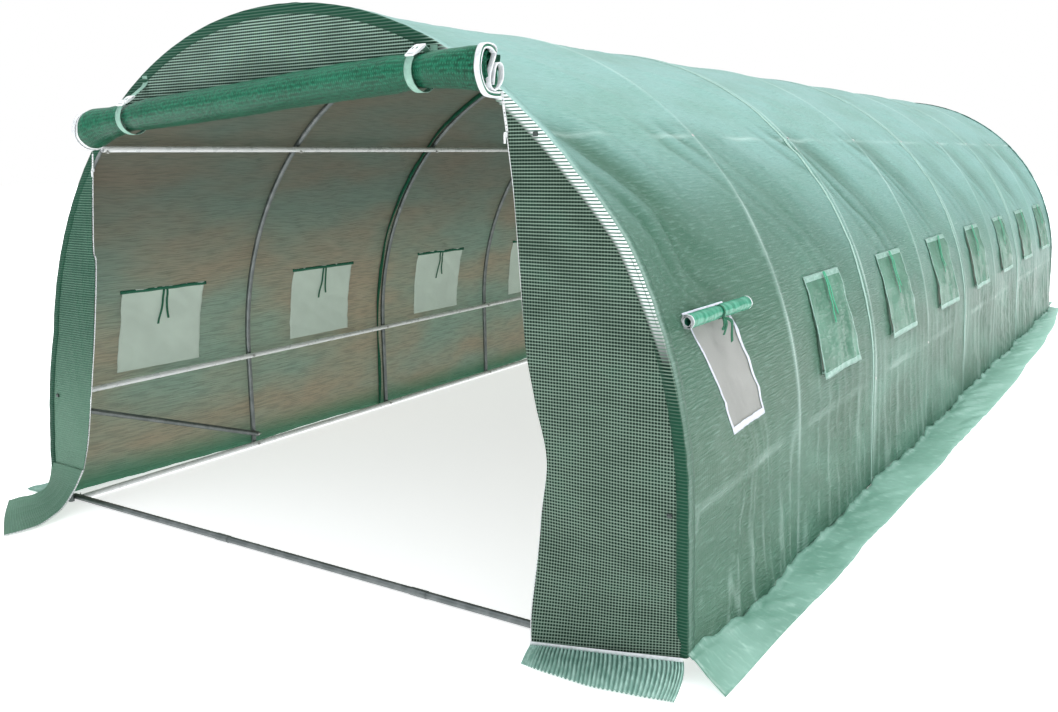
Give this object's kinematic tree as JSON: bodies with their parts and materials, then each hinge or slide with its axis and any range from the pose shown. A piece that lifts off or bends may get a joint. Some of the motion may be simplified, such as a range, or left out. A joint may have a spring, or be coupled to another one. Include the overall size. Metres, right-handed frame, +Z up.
{
  "type": "tunnel greenhouse",
  "caption": "Walk-in tunnel greenhouse: bolted steel hoops and long tubes under a green woven cover with a rolled-up door, flap windows and ground skirts.",
  "frame": {"origin": "on the ground, at the middle of the tunnel", "axes": "+Z up, +X across to the right as seen from the open door, +Y along the tunnel away from the open door"},
  "size_m": [3.49, 8.78, 1.9946],
  "materials": {
    "steel_tube": "galvanised steel tube, satin",
    "zinc_fastener": "bright zinc plating",
    "cover_film": "green woven polyethylene film, glossy, translucent",
    "end_mesh": "dark green grid-reinforced film",
    "door_film": "deep green woven polyethylene film, glossy",
    "flap_film": "green woven polyethylene film, glossy",
    "insect_screen": "pale fine insect net",
    "webbing": "flat green strap with white side-release buckles",
    "zip_plastic": "white moulded plastic"
  },
  "bodies": {
    "root": {"hoop_1": "steel_tube", "hoop_2": "steel_tube", "hoop_3": "steel_tube", "hoop_4": "steel_tube", "hoop_5": "steel_tube", "hoop_6": "steel_tube", "hoop_7": "steel_tube", "hoop_8": "steel_tube", "hoop_9": "steel_tube", "ground_rail_left": "steel_tube", "ground_rail_right": "steel_tube", "mid_rail_left": "steel_tube", "mid_rail_right": "steel_tube", "purlin_left": "steel_tube", "purlin_right": "steel_tube", "ridge_pole": "steel_tube", "front_ground_bar": "steel_tube", "rear_ground_bar": "steel_tube", "braces": "steel_tube", "frame_bolts": "zinc_fastener", "cover_panel_1": "cover_film", "cover_panel_2": "cover_film", "cover_panel_3": "cover_film", "cover_panel_4": "cover_film", "skirt_left": "cover_film", "skirt_right": "cover_film", "skirt_front_left": "cover_film", "skirt_front_right": "cover_film", "skirt_rear": "cover_film", "front_wall_left": "end_mesh", "front_wall_right": "end_mesh", "front_wall_top": "end_mesh", "rear_wall": "end_mesh", "rear_door": "door_film", "door_curtain": "door_film", "door_straps": "webbing", "window_screens_left": "insect_screen", "window_screens_right": "insect_screen"},
    "door_roll_body": {"door_roll": "door_film", "strap_tails": "webbing"},
    "flap_left_1_body": {"flap_left_1": "flap_film"},
    "flap_left_2_body": {"flap_left_2": "flap_film"},
    "flap_left_3_body": {"flap_left_3": "flap_film"},
    "flap_left_4_body": {"flap_left_4": "flap_film"},
    "flap_left_5_body": {"flap_left_5": "flap_film"},
    "flap_left_6_body": {"flap_left_6": "flap_film"},
    "flap_left_7_body": {"flap_left_7": "flap_film"},
    "flap_left_8_body": {"flap_left_8": "flap_film"},
    "flap_right_1_body": {"flap_right_1": "flap_film"},
    "flap_right_2_body": {"flap_right_2": "flap_film"},
    "flap_right_3_body": {"flap_right_3": "flap_film"},
    "flap_right_4_body": {"flap_right_4": "flap_film"},
    "flap_right_5_body": {"flap_right_5": "flap_film"},
    "flap_right_6_body": {"flap_right_6": "flap_film"},
    "flap_right_7_body": {"flap_right_7": "flap_film"},
    "flap_right_8_body": {"flap_right_8": "flap_film"},
    "front_zip_left_body": {"front_zip_slider_left": "zip_plastic"},
    "front_zip_right_body": {"front_zip_slider_right": "zip_plastic"},
    "rear_zip_left_body": {"rear_zip_slider_left": "zip_plastic"},
    "rear_zip_right_body": {"rear_zip_slider_right": "zip_plastic"}
  },
  "joints": [
    {"name": "door_roll_slide", "type": "slide", "parent": "root", "child": "door_roll_body", "axis": [0, 0, -1], "range_m": [0, 1.5], "deforming": ["door_curtain"]},
    {"name": "flap_left_1_hinge", "type": "hinge", "parent": "root", "child": "flap_left_1_body", "pos_m": [-1.44789, -3.5, 0.89042], "axis": [0, 1, 0], "range_deg": [0, 100]},
    {"name": "flap_left_2_hinge", "type": "hinge", "parent": "root", "child": "flap_left_2_body", "pos_m": [-1.44789, -2.5, 0.89042], "axis": [0, 1, 0], "range_deg": [0, 100]},
    {"name": "flap_left_3_hinge", "type": "hinge", "parent": "root", "child": "flap_left_3_body", "pos_m": [-1.44789, -1.5, 0.89042], "axis": [0, 1, 0], "range_deg": [0, 100]},
    {"name": "flap_left_4_hinge", "type": "hinge", "parent": "root", "child": "flap_left_4_body", "pos_m": [-1.44789, -0.5, 0.89042], "axis": [0, 1, 0], "range_deg": [0, 100]},
    {"name": "flap_left_5_hinge", "type": "hinge", "parent": "root", "child": "flap_left_5_body", "pos_m": [-1.44789, 0.5, 0.89042], "axis": [0, 1, 0], "range_deg": [0, 100]},
    {"name": "flap_left_6_hinge", "type": "hinge", "parent": "root", "child": "flap_left_6_body", "pos_m": [-1.44789, 1.5, 0.89042], "axis": [0, 1, 0], "range_deg": [0, 100]},
    {"name": "flap_left_7_hinge", "type": "hinge", "parent": "root", "child": "flap_left_7_body", "pos_m": [-1.44789, 2.5, 0.89042], "axis": [0, 1, 0], "range_deg": [0, 100]},
    {"name": "flap_left_8_hinge", "type": "hinge", "parent": "root", "child": "flap_left_8_body", "pos_m": [-1.44789, 3.5, 0.89042], "axis": [0, 1, 0], "range_deg": [0, 100]},
    {"name": "flap_right_1_hinge", "type": "hinge", "parent": "root", "child": "flap_right_1_body", "pos_m": [1.41182, -3.5, 1.00554], "axis": [0, -1, 0], "range_deg": [0, 45]},
    {"name": "flap_right_2_hinge", "type": "hinge", "parent": "root", "child": "flap_right_2_body", "pos_m": [1.41182, -2.5, 1.00554], "axis": [0, -1, 0], "range_deg": [0, 100]},
    {"name": "flap_right_3_hinge", "type": "hinge", "parent": "root", "child": "flap_right_3_body", "pos_m": [1.41182, -1.5, 1.00554], "axis": [0, -1, 0], "range_deg": [0, 100]},
    {"name": "flap_right_4_hinge", "type": "hinge", "parent": "root", "child": "flap_right_4_body", "pos_m": [1.41182, -0.5, 1.00554], "axis": [0, -1, 0], "range_deg": [0, 100]},
    {"name": "flap_right_5_hinge", "type": "hinge", "parent": "root", "child": "flap_right_5_body", "pos_m": [1.41182, 0.5, 1.00554], "axis": [0, -1, 0], "range_deg": [0, 100]},
    {"name": "flap_right_6_hinge", "type": "hinge", "parent": "root", "child": "flap_right_6_body", "pos_m": [1.41182, 1.5, 1.00554], "axis": [0, -1, 0], "range_deg": [0, 100]},
    {"name": "flap_right_7_hinge", "type": "hinge", "parent": "root", "child": "flap_right_7_body", "pos_m": [1.41182, 2.5, 1.00554], "axis": [0, -1, 0], "range_deg": [0, 100]},
    {"name": "flap_right_8_hinge", "type": "hinge", "parent": "root", "child": "flap_right_8_body", "pos_m": [1.41182, 3.5, 1.00554], "axis": [0, -1, 0], "range_deg": [0, 100]},
    {"name": "front_zip_left_slide", "type": "slide", "parent": "root", "child": "front_zip_left_body", "axis": [-0.1154, 0, -0.9933], "range_m": [0, 0.12]},
    {"name": "front_zip_right_slide", "type": "slide", "parent": "root", "child": "front_zip_right_body", "axis": [0.1003, 0, -0.995], "range_m": [0, 0.12]},
    {"name": "rear_zip_left_slide", "type": "slide", "parent": "root", "child": "rear_zip_left_body", "axis": [0, 0, 1], "range_m": [0, 1.45]},
    {"name": "rear_zip_right_slide", "type": "slide", "parent": "root", "child": "rear_zip_right_body", "axis": [0, 0, 1], "range_m": [0, 1.45]}
  ]
}
